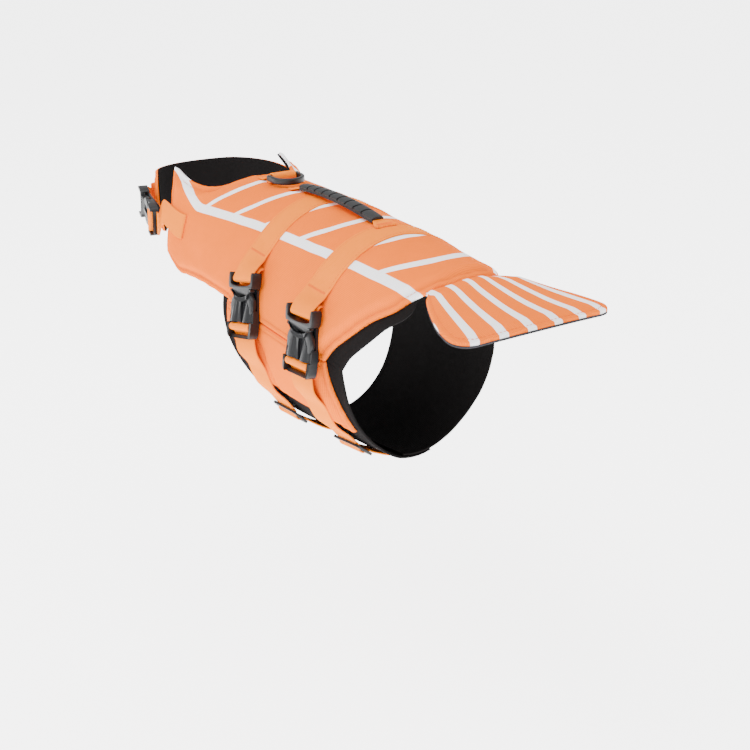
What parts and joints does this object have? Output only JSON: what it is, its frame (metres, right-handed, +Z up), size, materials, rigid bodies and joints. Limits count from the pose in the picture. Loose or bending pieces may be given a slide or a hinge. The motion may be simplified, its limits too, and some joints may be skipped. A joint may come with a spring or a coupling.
{
  "type": "dog swim vest",
  "caption": "Padded dog swim vest worn as a hollow form, with a tail fin, a top handle, a leash ring, a chest strap and two side-release body straps.",
  "frame": {"origin": "on the inner face of the lining, on the spine, midway between the neckline and the root of the tail fin", "axes": "+Z up, -Y toward the wearer's head, +Y toward the tail, +X toward the wearer's left flank, which has the buckles"},
  "size_m": [0.2161, 0.6016, 0.2229],
  "materials": {
    "orange_cloth": "matt woven polyester over foam, printed with white bands",
    "orange_webbing": "ribbed polypropylene webbing",
    "black_cloth": "matt knitted lining and binding",
    "grey_cloth": "matt woven backing",
    "black_plastic": "satin moulded acetal",
    "grip_rubber": "matt moulded rubber"
  },
  "bodies": {
    "root": {"saddle_shell": "orange_cloth", "saddle_lining": "black_cloth", "girth_left": "orange_cloth", "girth_right": "orange_cloth", "belly_band_left": "black_cloth", "belly_band_right": "black_cloth", "tail_top": "orange_cloth", "tail_under": "grey_cloth", "chest_panel": "orange_cloth", "chest_lining": "black_cloth", "chest_tab": "orange_webbing", "chest_webbing": "orange_webbing", "strap_front": "orange_webbing", "strap_rear": "orange_webbing", "ring_tab": "orange_webbing", "handle_webbing": "orange_webbing", "handle_grip": "grip_rubber", "buckle_front_female": "black_plastic", "buckle_front_male": "black_plastic", "buckle_rear_female": "black_plastic", "buckle_rear_male": "black_plastic", "buckle_chest_female": "black_plastic", "buckle_chest_male": "black_plastic", "slider_front": "black_plastic", "slider_rear": "black_plastic"},
    "ring": {"leash_ring": "black_plastic"}
  },
  "joints": [
    {"name": "leash_ring_hinge", "type": "hinge", "parent": "root", "child": "ring", "pos_m": [0, -0.127, 0.0127], "axis": [1, 0, 0], "range_deg": [0, 150]}
  ]
}
